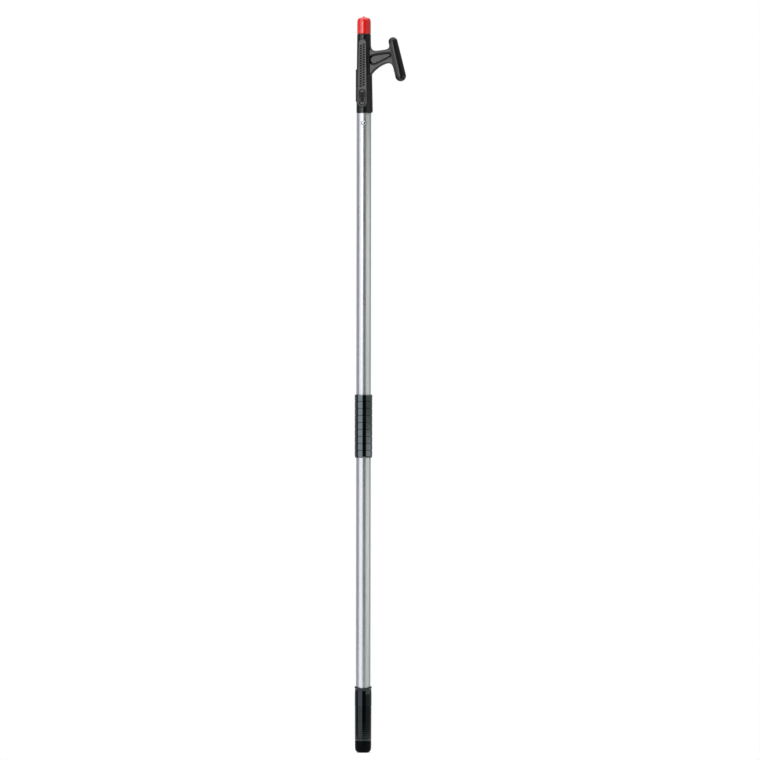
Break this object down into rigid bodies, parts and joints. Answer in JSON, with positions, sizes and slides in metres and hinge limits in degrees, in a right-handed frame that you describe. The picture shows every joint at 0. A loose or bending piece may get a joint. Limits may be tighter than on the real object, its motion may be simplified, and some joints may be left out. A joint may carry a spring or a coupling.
{
  "type": "telescoping boat hook",
  "caption": "Telescoping aluminium boat hook with a moulded T-bar hook head, red tip cap, ribbed grips and a snap-button lock, stowed.",
  "frame": {"origin": "on the pole's axis at the flat butt of the end grip", "axes": "+Z along the pole towards the red tip, +X along the hook's arm, the hook's plane is XZ"},
  "size_m": [0.091, 0.0312, 1.2901],
  "materials": {
    "outer_tube": "clear anodised, fine lengthwise draw lines",
    "mid_grip": "semi-gloss soft vinyl",
    "end_grip": "semi-gloss soft vinyl with fine ribs",
    "end_plug": "natural polyethylene",
    "inner_tube": "clear anodised, fine lengthwise draw lines",
    "hook_head": "black glass-filled nylon, fine moulded grain",
    "tip_cap": "dip-moulded red vinyl",
    "rivet": "satin",
    "glide_bushing": "natural acetal",
    "glide_ring": "nitrile rubber",
    "float_plug": "closed-cell foam",
    "snap_button": "polished stainless steel",
    "clip_spring": "stainless spring strip"
  },
  "bodies": {
    "outer_pole": {"outer_tube": "outer_tube", "mid_grip": "mid_grip", "end_grip": "end_grip", "end_plug": "end_plug"},
    "inner_pole": {"inner_tube": "inner_tube", "hook_head": "hook_head", "tip_cap": "tip_cap", "head_rivet_lower": "rivet", "head_rivet_upper": "rivet", "glide_bushing": "glide_bushing", "glide_ring": "glide_ring", "upper_float_plug": "float_plug", "lower_float_plug": "float_plug", "upper_clip_spring": "clip_spring", "lower_clip_spring": "clip_spring"},
    "upper_button": {"upper_snap_button": "snap_button"},
    "lower_button": {"lower_snap_button": "snap_button"}
  },
  "joints": [
    {"name": "pole_slide", "type": "slide", "parent": "outer_pole", "child": "inner_pole", "axis": [0, 0, 1], "range_m": [0, 0.9628]},
    {"name": "upper_button_press", "type": "slide", "parent": "inner_pole", "child": "upper_button", "axis": [-0.225, 0.9744, 0], "range_m": [0, 0.0047], "stiffness_N_per_m": 2000, "springref_m": -0.0015, "deforming": ["upper_clip_spring"]},
    {"name": "lower_button_press", "type": "slide", "parent": "inner_pole", "child": "lower_button", "axis": [-0.225, 0.9744, 0], "range_m": [0, 0.002], "stiffness_N_per_m": 2000, "springref_m": -0.0048, "deforming": ["lower_clip_spring"]}
  ]
}
